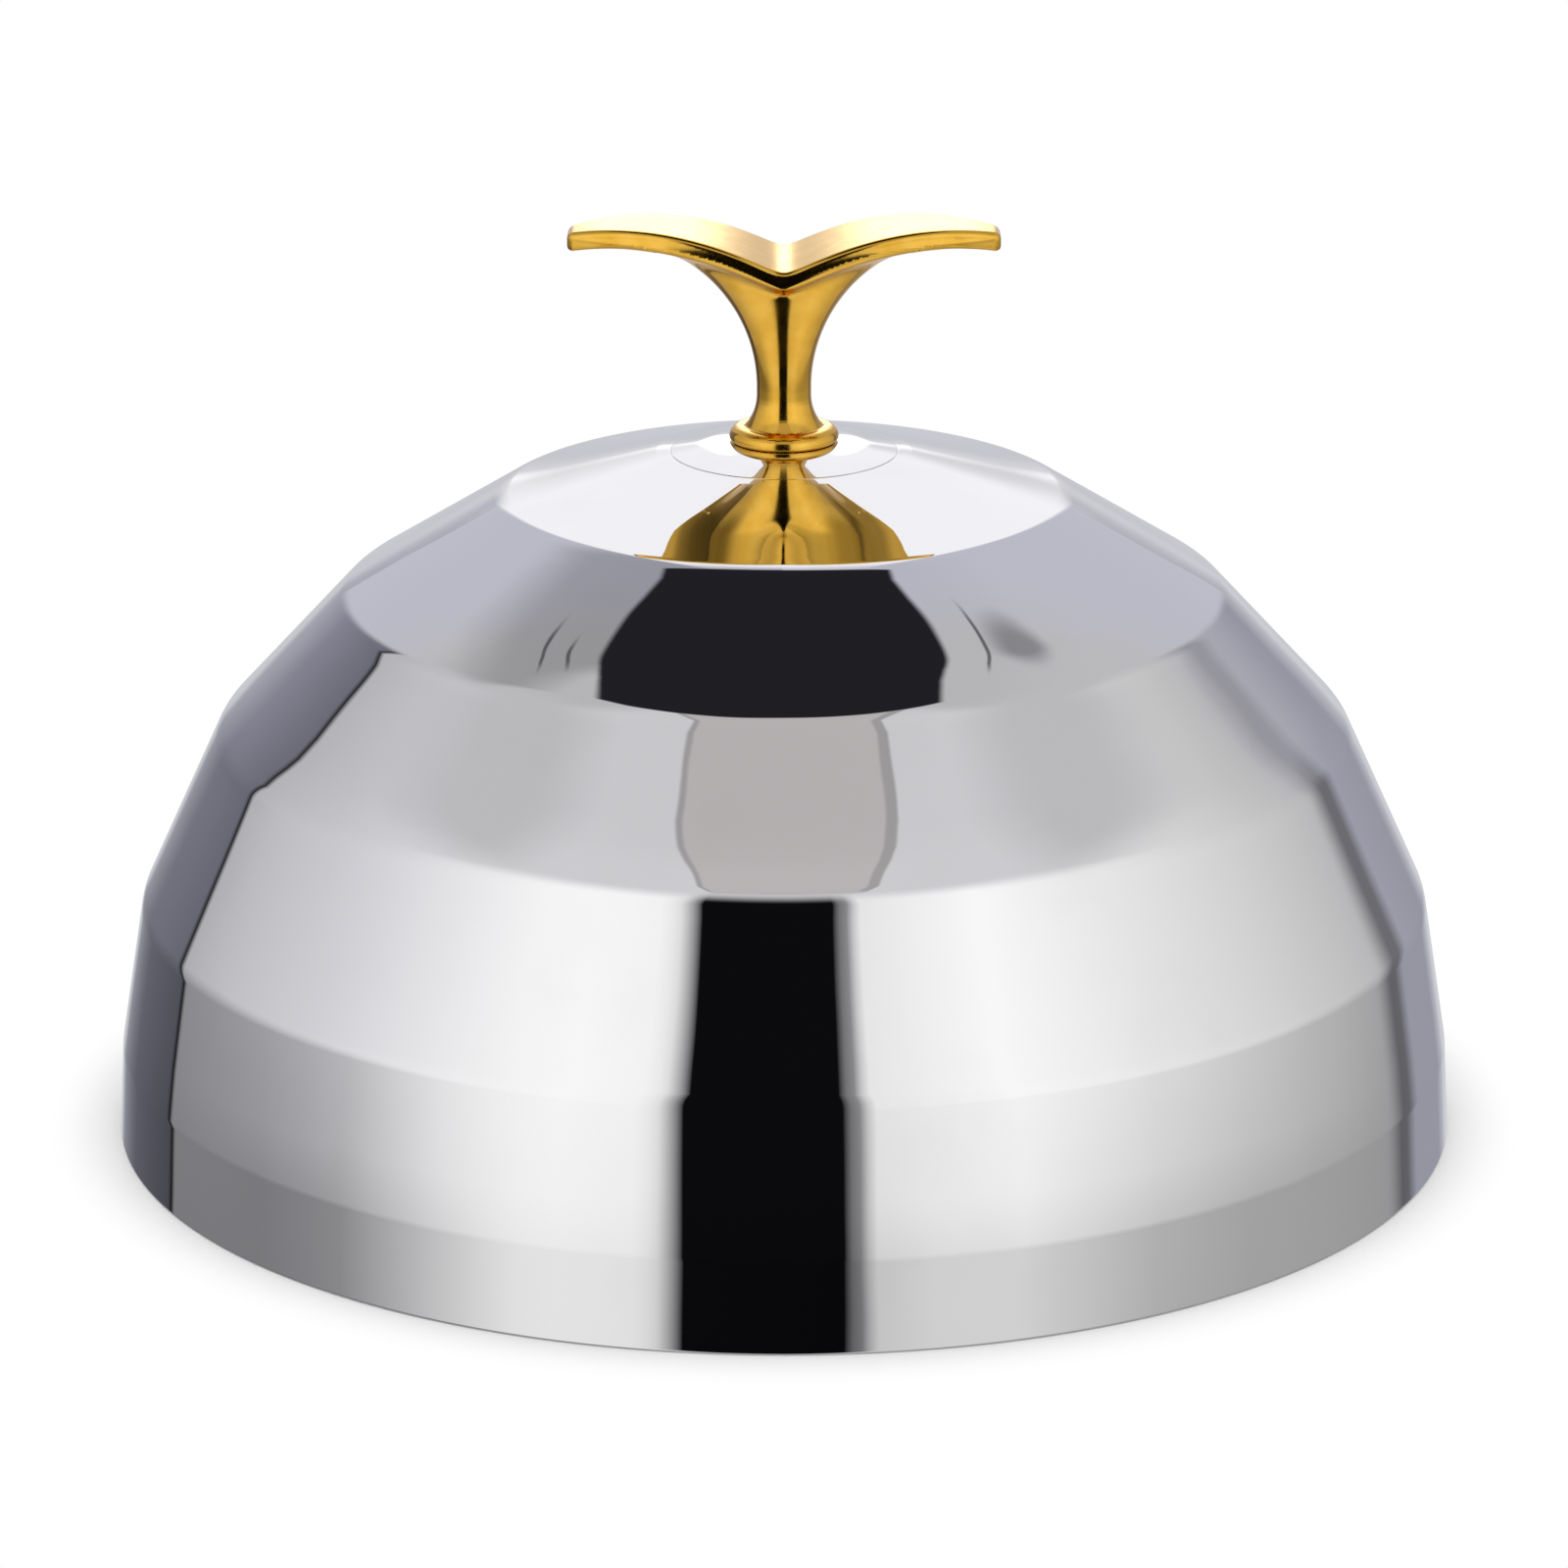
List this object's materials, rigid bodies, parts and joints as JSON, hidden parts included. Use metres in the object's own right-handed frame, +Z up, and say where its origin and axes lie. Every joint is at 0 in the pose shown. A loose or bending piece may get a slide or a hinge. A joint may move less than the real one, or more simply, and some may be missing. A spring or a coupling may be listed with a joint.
{
  "type": "buffet food cover dome",
  "caption": "Mirror-polished domed food cover in stepped conical bands, with a gold winged handle held by a stud and cap nut.",
  "frame": {"origin": "centre of the rim's resting plane", "axes": "+Z up along the dome's axis, wings along X"},
  "size_m": [0.2999, 0.3, 0.2057],
  "materials": {
    "mirror_steel": "mirror-polished stainless steel sheet",
    "polished_gold": "polished gold plating on a zinc casting",
    "seal_rubber": "matt black silicone rubber",
    "satin_steel": "turned and tumbled stainless steel"
  },
  "bodies": {
    "cover": {"dome_shell": "mirror_steel", "handle_rosette": "mirror_steel", "winged_handle": "polished_gold", "seal_washer": "seal_rubber", "handle_stud": "satin_steel"},
    "washers": {"flat_washer": "satin_steel", "spring_washer": "satin_steel"},
    "nut": {"cap_nut": "satin_steel"}
  },
  "joints": [
    {"name": "nut_travel", "type": "slide", "parent": "cover", "child": "washers", "axis": [0, 0, -1], "range_m": [0, 0.009]},
    {"name": "nut_turn", "type": "hinge", "parent": "washers", "child": "nut", "pos_m": [0, 0, 0.148], "axis": [0, 0, -1], "range_deg": [0, 3240]}
  ],
  "couplings": [
    {"joint": "nut_turn", "follows": "nut_travel", "rad_per_m": 6283.2}
  ]
}
